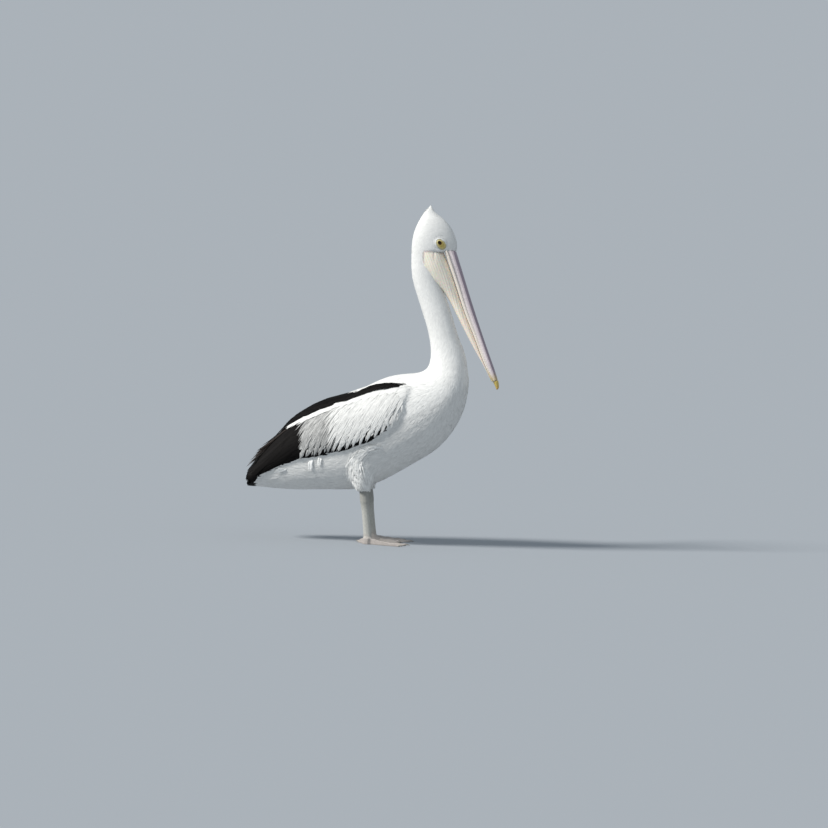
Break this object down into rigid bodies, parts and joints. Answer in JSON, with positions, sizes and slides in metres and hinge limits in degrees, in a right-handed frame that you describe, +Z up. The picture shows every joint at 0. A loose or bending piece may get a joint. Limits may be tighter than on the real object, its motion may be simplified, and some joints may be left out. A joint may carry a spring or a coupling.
{
  "type": "australian pelican",
  "caption": "Life-size standing pelican model with a long drooping bill and pouch, upright curved neck, folded wings, short tail and webbed feet.",
  "frame": {"origin": "middle of the bird's bounding box on the surface it stands on", "axes": "+X forward towards the bill, +Y to the bird's left, +Z up"},
  "size_m": [0.7462, 0.2508, 1.0173],
  "materials": {
    "white_feather": "white feathers, soft and matte",
    "black_feather": "brown-black feathers with a faint sheen",
    "bill_horn": "pinkish horn of the bill, satin",
    "nail_horn": "yellow horn of the bill's tip, satin",
    "pouch_skin": "cream bare skin of the pouch, finely creased",
    "leg_skin": "grey scaled skin of legs and feet",
    "claw_horn": "dark grey horn",
    "eye": "wet brown eye"
  },
  "bodies": {
    "root": {"bill_lower": "bill_horn", "bill_nail": "nail_horn", "bill_upper": "bill_horn", "claw_left_1": "claw_horn", "claw_left_2": "claw_horn", "claw_left_3": "claw_horn", "claw_left_4": "claw_horn", "claw_right_1": "claw_horn", "claw_right_2": "claw_horn", "claw_right_3": "claw_horn", "claw_right_4": "claw_horn", "crest": "white_feather", "eye_left": "eye", "eye_right": "eye", "flight_feathers_left": "black_feather", "flight_feathers_right": "black_feather", "foot_left": "leg_skin", "foot_right": "leg_skin", "head": "white_feather", "neck_lower": "white_feather", "neck_middle": "white_feather", "neck_upper": "white_feather", "pouch": "pouch_skin", "scapulars_left": "black_feather", "scapulars_right": "black_feather", "shank_left": "leg_skin", "shank_right": "leg_skin", "tail": "black_feather", "thigh_left": "white_feather", "thigh_right": "white_feather", "trunk": "white_feather", "wing_left": "white_feather", "wing_right": "white_feather"}
  },
  "joints": []
}
